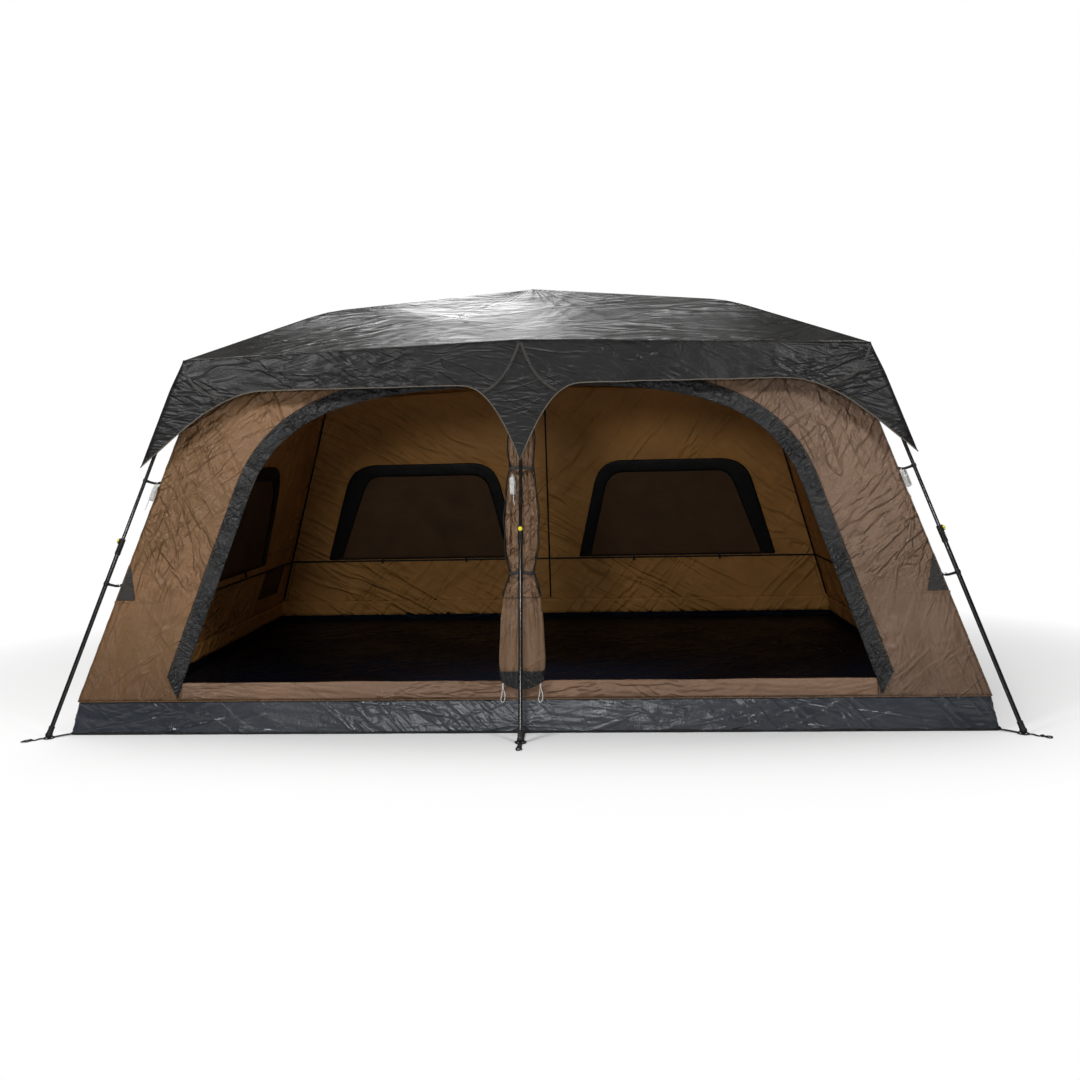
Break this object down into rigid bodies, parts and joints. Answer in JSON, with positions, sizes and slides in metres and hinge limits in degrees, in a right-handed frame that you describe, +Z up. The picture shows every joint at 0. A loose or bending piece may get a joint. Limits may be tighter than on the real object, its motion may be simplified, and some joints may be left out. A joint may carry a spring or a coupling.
{
  "type": "instant tent",
  "caption": "Pop-up cabin tent: hub-folding arms with telescoping legs carry a fly over a tub floor and walls with two doors.",
  "frame": {"origin": "on the ground under the middle of the floor, which is the middle of the hub", "axes": "+Z up, -Y towards the doors, +X to the right as the doors are faced"},
  "size_m": [4.599, 3.5624, 2.2343],
  "materials": {
    "fly_fabric": "coated polyester, charcoal, satin",
    "wall_fabric": "polyester, brown, with melange yarn",
    "tub_fabric": "coated polyethylene tub, slate, glossy",
    "trim_fabric": "charcoal binding and door trim",
    "window_mesh": "black no-see-um mesh",
    "webbing": "black polypropylene webbing",
    "pole_steel": "black painted steel tube",
    "joint_plastic": "moulded black nylon",
    "button_yellow": "moulded yellow",
    "rope_white": "braided white cord"
  },
  "bodies": {
    "root": {"hub": "joint_plastic", "fly": "fly_fabric", "ceiling": "wall_fabric", "floor_tub": "tub_fabric", "wall_front": "wall_fabric", "wall_rear": "wall_fabric", "wall_left": "wall_fabric", "wall_right": "wall_fabric", "door_panels": "wall_fabric", "rope_hank_front_left": "rope_white", "rope_hank_front_mid": "rope_white", "rope_hank_front_right": "rope_white"},
    "inner_arm_front_left": {"inner_arm_front_left": "pole_steel"},
    "outer_arm_front_left": {"outer_arm_front_left": "pole_steel"},
    "upper_leg_front_left": {"upper_leg_front_left": "pole_steel"},
    "lower_leg_front_left": {"lower_leg_front_left": "pole_steel", "foot_front_left": "joint_plastic", "lower_clip_front_left": "joint_plastic"},
    "button_front_left": {"button_front_left": "button_yellow"},
    "upper_clip_front_left": {"upper_clip_front_left": "joint_plastic"},
    "inner_arm_front_mid": {"inner_arm_front_mid": "pole_steel"},
    "outer_arm_front_mid": {"outer_arm_front_mid": "pole_steel"},
    "upper_leg_front_mid": {"upper_leg_front_mid": "pole_steel"},
    "lower_leg_front_mid": {"lower_leg_front_mid": "pole_steel", "foot_front_mid": "joint_plastic", "lower_clip_front_mid": "joint_plastic"},
    "button_front_mid": {"button_front_mid": "button_yellow"},
    "upper_clip_front_mid": {"upper_clip_front_mid": "joint_plastic"},
    "inner_arm_front_right": {"inner_arm_front_right": "pole_steel"},
    "outer_arm_front_right": {"outer_arm_front_right": "pole_steel"},
    "upper_leg_front_right": {"upper_leg_front_right": "pole_steel"},
    "lower_leg_front_right": {"lower_leg_front_right": "pole_steel", "foot_front_right": "joint_plastic", "lower_clip_front_right": "joint_plastic"},
    "button_front_right": {"button_front_right": "button_yellow"},
    "upper_clip_front_right": {"upper_clip_front_right": "joint_plastic"},
    "inner_arm_rear_right": {"inner_arm_rear_right": "pole_steel"},
    "outer_arm_rear_right": {"outer_arm_rear_right": "pole_steel"},
    "upper_leg_rear_right": {"upper_leg_rear_right": "pole_steel"},
    "lower_leg_rear_right": {"lower_leg_rear_right": "pole_steel", "foot_rear_right": "joint_plastic", "lower_clip_rear_right": "joint_plastic"},
    "button_rear_right": {"button_rear_right": "button_yellow"},
    "upper_clip_rear_right": {"upper_clip_rear_right": "joint_plastic"},
    "inner_arm_rear_mid": {"inner_arm_rear_mid": "pole_steel"},
    "outer_arm_rear_mid": {"outer_arm_rear_mid": "pole_steel"},
    "upper_leg_rear_mid": {"upper_leg_rear_mid": "pole_steel"},
    "lower_leg_rear_mid": {"lower_leg_rear_mid": "pole_steel", "foot_rear_mid": "joint_plastic", "lower_clip_rear_mid": "joint_plastic"},
    "button_rear_mid": {"button_rear_mid": "button_yellow"},
    "upper_clip_rear_mid": {"upper_clip_rear_mid": "joint_plastic"},
    "inner_arm_rear_left": {"inner_arm_rear_left": "pole_steel"},
    "outer_arm_rear_left": {"outer_arm_rear_left": "pole_steel"},
    "upper_leg_rear_left": {"upper_leg_rear_left": "pole_steel"},
    "lower_leg_rear_left": {"lower_leg_rear_left": "pole_steel", "foot_rear_left": "joint_plastic", "lower_clip_rear_left": "joint_plastic"},
    "button_rear_left": {"button_rear_left": "button_yellow"},
    "upper_clip_rear_left": {"upper_clip_rear_left": "joint_plastic"}
  },
  "joints": [
    {"name": "hub_fold_front_left", "type": "hinge", "parent": "root", "child": "inner_arm_front_left", "pos_m": [-0.04882, -0.03487, 2.20201], "axis": [0.5812, -0.8137, 0], "range_deg": [0, 76.8], "deforming": ["fly", "ceiling", "wall_front", "wall_rear", "wall_left", "wall_right", "floor_tub", "door_panels", "rope_hank_front_left", "rope_hank_front_mid", "rope_hank_front_right"]},
    {"name": "knee_front_left", "type": "hinge", "parent": "inner_arm_front_left", "child": "outer_arm_front_left", "pos_m": [-1.04027, -0.74305, 2.01885], "axis": [-0.5812, 0.8137, 0], "range_deg": [0, 184.6]},
    {"name": "elbow_front_left", "type": "hinge", "parent": "outer_arm_front_left", "child": "upper_leg_front_left", "pos_m": [-1.61582, -1.15416, 1.71809], "axis": [0.5812, -0.8137, 0], "range_deg": [0, 129.38]},
    {"name": "leg_slide_front_left", "type": "slide", "parent": "upper_leg_front_left", "child": "lower_leg_front_left", "axis": [0.3124, 0.2231, 0.9234], "range_m": [0, 0.7]},
    {"name": "button_press_front_left", "type": "slide", "parent": "lower_leg_front_left", "child": "button_front_left", "axis": [0.7514, 0.5367, -0.3839], "range_m": [0, 0.003], "stiffness_N_per_m": 500, "springref_m": -0.002},
    {"name": "clip_slide_front_left", "type": "slide", "parent": "upper_leg_front_left", "child": "upper_clip_front_left", "axis": [0.3124, 0.2231, 0.9234], "range_m": [0, 0.41335]},
    {"name": "hub_fold_front_mid", "type": "hinge", "parent": "root", "child": "inner_arm_front_mid", "pos_m": [0, -0.06, 2.20201], "axis": [1, 0, 0], "range_deg": [0, 57.91]},
    {"name": "knee_front_mid", "type": "hinge", "parent": "inner_arm_front_mid", "child": "outer_arm_front_mid", "pos_m": [0, -0.81146, 1.92724], "axis": [-1, 0, 0], "range_deg": [0, 163]},
    {"name": "elbow_front_mid", "type": "hinge", "parent": "outer_arm_front_mid", "child": "upper_leg_front_mid", "pos_m": [0, -1.11324, 1.77872], "axis": [1, 0, 0], "range_deg": [0, 116.77]},
    {"name": "leg_slide_front_mid", "type": "slide", "parent": "upper_leg_front_mid", "child": "lower_leg_front_mid", "axis": [0, 0.2954, 0.9554], "range_m": [0, 0.7]},
    {"name": "button_press_front_mid", "type": "slide", "parent": "lower_leg_front_mid", "child": "button_front_mid", "axis": [0, 0.9554, -0.2954], "range_m": [0, 0.003], "stiffness_N_per_m": 500, "springref_m": -0.002},
    {"name": "clip_slide_front_mid", "type": "slide", "parent": "upper_leg_front_mid", "child": "upper_clip_front_mid", "axis": [0, 0.2954, 0.9554], "range_m": [0, 0.45563]},
    {"name": "hub_fold_front_right", "type": "hinge", "parent": "root", "child": "inner_arm_front_right", "pos_m": [0.04882, -0.03487, 2.20201], "axis": [0.5812, 0.8137, 0], "range_deg": [0, 76.8]},
    {"name": "knee_front_right", "type": "hinge", "parent": "inner_arm_front_right", "child": "outer_arm_front_right", "pos_m": [1.04027, -0.74305, 2.01885], "axis": [-0.5812, -0.8137, 0], "range_deg": [0, 184.6]},
    {"name": "elbow_front_right", "type": "hinge", "parent": "outer_arm_front_right", "child": "upper_leg_front_right", "pos_m": [1.61582, -1.15416, 1.71809], "axis": [0.5812, 0.8137, 0], "range_deg": [0, 129.38]},
    {"name": "leg_slide_front_right", "type": "slide", "parent": "upper_leg_front_right", "child": "lower_leg_front_right", "axis": [-0.3124, 0.2231, 0.9234], "range_m": [0, 0.7]},
    {"name": "button_press_front_right", "type": "slide", "parent": "lower_leg_front_right", "child": "button_front_right", "axis": [-0.7514, 0.5367, -0.3839], "range_m": [0, 0.003], "stiffness_N_per_m": 500, "springref_m": -0.002},
    {"name": "clip_slide_front_right", "type": "slide", "parent": "upper_leg_front_right", "child": "upper_clip_front_right", "axis": [-0.3124, 0.2231, 0.9234], "range_m": [0, 0.41335]},
    {"name": "hub_fold_rear_right", "type": "hinge", "parent": "root", "child": "inner_arm_rear_right", "pos_m": [0.04882, 0.03487, 2.20201], "axis": [-0.5812, 0.8137, 0], "range_deg": [0, 76.8]},
    {"name": "knee_rear_right", "type": "hinge", "parent": "inner_arm_rear_right", "child": "outer_arm_rear_right", "pos_m": [1.04027, 0.74305, 2.01885], "axis": [0.5812, -0.8137, 0], "range_deg": [0, 184.6]},
    {"name": "elbow_rear_right", "type": "hinge", "parent": "outer_arm_rear_right", "child": "upper_leg_rear_right", "pos_m": [1.61582, 1.15416, 1.71809], "axis": [-0.5812, 0.8137, 0], "range_deg": [0, 129.38]},
    {"name": "leg_slide_rear_right", "type": "slide", "parent": "upper_leg_rear_right", "child": "lower_leg_rear_right", "axis": [-0.3124, -0.2231, 0.9234], "range_m": [0, 0.7]},
    {"name": "button_press_rear_right", "type": "slide", "parent": "lower_leg_rear_right", "child": "button_rear_right", "axis": [-0.7514, -0.5367, -0.3839], "range_m": [0, 0.003], "stiffness_N_per_m": 500, "springref_m": -0.002},
    {"name": "clip_slide_rear_right", "type": "slide", "parent": "upper_leg_rear_right", "child": "upper_clip_rear_right", "axis": [-0.3124, -0.2231, 0.9234], "range_m": [0, 0.41335]},
    {"name": "hub_fold_rear_mid", "type": "hinge", "parent": "root", "child": "inner_arm_rear_mid", "pos_m": [0, 0.06, 2.20201], "axis": [-1, 0, 0], "range_deg": [0, 57.91]},
    {"name": "knee_rear_mid", "type": "hinge", "parent": "inner_arm_rear_mid", "child": "outer_arm_rear_mid", "pos_m": [0, 0.81146, 1.92724], "axis": [1, 0, 0], "range_deg": [0, 163]},
    {"name": "elbow_rear_mid", "type": "hinge", "parent": "outer_arm_rear_mid", "child": "upper_leg_rear_mid", "pos_m": [0, 1.11324, 1.77872], "axis": [-1, 0, 0], "range_deg": [0, 116.77]},
    {"name": "leg_slide_rear_mid", "type": "slide", "parent": "upper_leg_rear_mid", "child": "lower_leg_rear_mid", "axis": [0, -0.2954, 0.9554], "range_m": [0, 0.7]},
    {"name": "button_press_rear_mid", "type": "slide", "parent": "lower_leg_rear_mid", "child": "button_rear_mid", "axis": [0, -0.9554, -0.2954], "range_m": [0, 0.003], "stiffness_N_per_m": 500, "springref_m": -0.002},
    {"name": "clip_slide_rear_mid", "type": "slide", "parent": "upper_leg_rear_mid", "child": "upper_clip_rear_mid", "axis": [0, -0.2954, 0.9554], "range_m": [0, 0.45563]},
    {"name": "hub_fold_rear_left", "type": "hinge", "parent": "root", "child": "inner_arm_rear_left", "pos_m": [-0.04882, 0.03487, 2.20201], "axis": [-0.5812, -0.8137, 0], "range_deg": [0, 76.8]},
    {"name": "knee_rear_left", "type": "hinge", "parent": "inner_arm_rear_left", "child": "outer_arm_rear_left", "pos_m": [-1.04027, 0.74305, 2.01885], "axis": [0.5812, 0.8137, 0], "range_deg": [0, 184.6]},
    {"name": "elbow_rear_left", "type": "hinge", "parent": "outer_arm_rear_left", "child": "upper_leg_rear_left", "pos_m": [-1.61582, 1.15416, 1.71809], "axis": [-0.5812, -0.8137, 0], "range_deg": [0, 129.38]},
    {"name": "leg_slide_rear_left", "type": "slide", "parent": "upper_leg_rear_left", "child": "lower_leg_rear_left", "axis": [0.3124, -0.2231, 0.9234], "range_m": [0, 0.7]},
    {"name": "button_press_rear_left", "type": "slide", "parent": "lower_leg_rear_left", "child": "button_rear_left", "axis": [0.7514, -0.5367, -0.3839], "range_m": [0, 0.003], "stiffness_N_per_m": 500, "springref_m": -0.002},
    {"name": "clip_slide_rear_left", "type": "slide", "parent": "upper_leg_rear_left", "child": "upper_clip_rear_left", "axis": [0.3124, -0.2231, 0.9234], "range_m": [0, 0.41335]}
  ],
  "couplings": [
    {"joint": "knee_front_left", "follows": "hub_fold_front_left", "ratio": 2.4036},
    {"joint": "elbow_front_left", "follows": "hub_fold_front_left", "ratio": 1.6846},
    {"joint": "clip_slide_front_left", "follows": "leg_slide_front_left", "ratio": 0.5905},
    {"joint": "hub_fold_front_mid", "follows": "hub_fold_front_left", "ratio": 0.75408},
    {"joint": "knee_front_mid", "follows": "hub_fold_front_left", "ratio": 2.1224},
    {"joint": "elbow_front_mid", "follows": "hub_fold_front_left", "ratio": 1.5204},
    {"joint": "clip_slide_front_mid", "follows": "leg_slide_front_mid", "ratio": 0.6509},
    {"joint": "hub_fold_front_right", "follows": "hub_fold_front_left", "ratio": 1},
    {"joint": "knee_front_right", "follows": "hub_fold_front_left", "ratio": 2.4036},
    {"joint": "elbow_front_right", "follows": "hub_fold_front_left", "ratio": 1.6846},
    {"joint": "clip_slide_front_right", "follows": "leg_slide_front_right", "ratio": 0.5905},
    {"joint": "hub_fold_rear_right", "follows": "hub_fold_front_left", "ratio": 1},
    {"joint": "knee_rear_right", "follows": "hub_fold_front_left", "ratio": 2.4036},
    {"joint": "elbow_rear_right", "follows": "hub_fold_front_left", "ratio": 1.6846},
    {"joint": "clip_slide_rear_right", "follows": "leg_slide_rear_right", "ratio": 0.5905},
    {"joint": "hub_fold_rear_mid", "follows": "hub_fold_front_left", "ratio": 0.75408},
    {"joint": "knee_rear_mid", "follows": "hub_fold_front_left", "ratio": 2.1224},
    {"joint": "elbow_rear_mid", "follows": "hub_fold_front_left", "ratio": 1.5204},
    {"joint": "clip_slide_rear_mid", "follows": "leg_slide_rear_mid", "ratio": 0.6509},
    {"joint": "hub_fold_rear_left", "follows": "hub_fold_front_left", "ratio": 1},
    {"joint": "knee_rear_left", "follows": "hub_fold_front_left", "ratio": 2.4036},
    {"joint": "elbow_rear_left", "follows": "hub_fold_front_left", "ratio": 1.6846},
    {"joint": "clip_slide_rear_left", "follows": "leg_slide_rear_left", "ratio": 0.5905}
  ]
}
